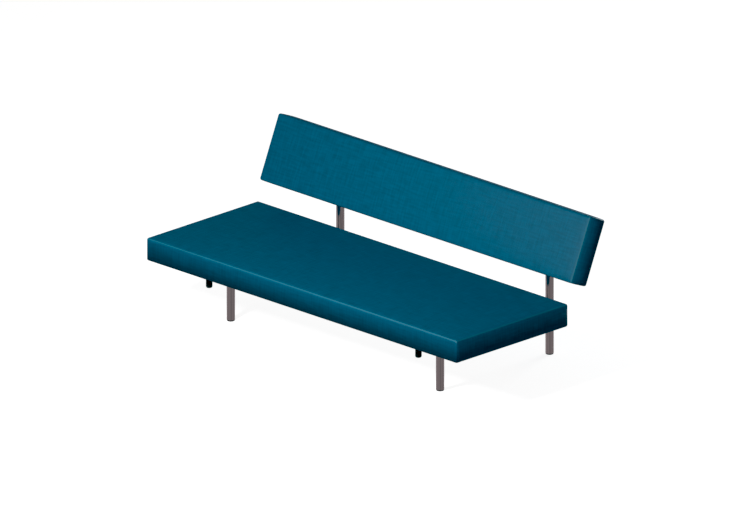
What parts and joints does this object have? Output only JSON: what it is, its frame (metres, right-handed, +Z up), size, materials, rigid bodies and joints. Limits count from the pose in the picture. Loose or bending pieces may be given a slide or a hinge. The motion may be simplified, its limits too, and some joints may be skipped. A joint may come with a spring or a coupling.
{
  "type": "sofa bed",
  "caption": "Slab sofa bed: a padded seat slides back under a leaning padded back rest, on round chromed legs with a welded side frame.",
  "frame": {"origin": "on the floor under the middle of the whole object, with the seat pulled forward", "axes": "+X to the right along the seat seen from the front, +Y towards the back rest, +Z up"},
  "size_m": [2.01, 0.9536, 0.7598],
  "materials": {
    "woven_wool": "plain woven wool",
    "dust_cloth": "thin spun cloth",
    "wadding": "soft fibre",
    "foam": "open cell foam",
    "elastic_webbing": "ribbed elastic",
    "beech": "planed",
    "chromed_tube": "polished",
    "black_steel": "powder coated satin",
    "plain_steel": "turned",
    "zinc_steel": "zinc plated",
    "moulded_plastic": "moulded",
    "black_rubber": "matt"
  },
  "bodies": {
    "base": {"back_bottom_rail": "beech", "back_corner_blocks": "beech", "back_cover": "woven_wool", "back_end_upright_left": "beech", "back_end_upright_right": "beech", "back_foam": "foam", "back_frame_screws": "zinc_steel", "back_middle_upright": "beech", "back_plate_left": "black_steel", "back_plate_right": "black_steel", "back_plate_screws": "zinc_steel", "back_post_upright_left": "beech", "back_post_upright_right": "beech", "back_rear_cloth": "woven_wool", "back_top_rail": "beech", "back_wadding": "wadding", "back_webbing": "elastic_webbing", "front_cross_rail": "black_steel", "front_glide_left": "moulded_plastic", "front_glide_right": "moulded_plastic", "front_leg_left": "chromed_tube", "front_leg_right": "chromed_tube", "leg_bolts": "zinc_steel", "leg_plug_left": "plain_steel", "leg_plug_right": "plain_steel", "rail_shoe_front_left": "moulded_plastic", "rail_shoe_front_right": "moulded_plastic", "rail_shoe_rear_left": "moulded_plastic", "rail_shoe_rear_right": "moulded_plastic", "rear_cross_rail": "black_steel", "rear_glide_left": "moulded_plastic", "rear_glide_right": "moulded_plastic", "rear_post_left": "chromed_tube", "rear_post_right": "chromed_tube", "side_rail_left": "black_steel", "side_rail_right": "black_steel"},
    "seat": {"front_peg_left": "black_rubber", "front_peg_right": "black_rubber", "peg_studs": "zinc_steel", "runner_left": "black_steel", "runner_right": "black_steel", "runner_screws": "zinc_steel", "seat_corner_blocks": "beech", "seat_cover": "woven_wool", "seat_dust_cloth": "dust_cloth", "seat_end_member_left": "beech", "seat_end_member_right": "beech", "seat_foam": "foam", "seat_frame_screws": "zinc_steel", "seat_front_rail": "beech", "seat_middle_member": "beech", "seat_rear_rail": "beech", "seat_runner_member_left": "beech", "seat_runner_member_right": "beech", "seat_wadding": "wadding", "seat_webbing": "elastic_webbing", "stop_peg_left": "black_rubber", "stop_peg_right": "black_rubber", "stop_peg_screws": "zinc_steel"}
  },
  "joints": [
    {"name": "seat_slide", "type": "slide", "parent": "base", "child": "seat", "axis": [0, 1, 0], "range_m": [0, 0.105]}
  ]
}
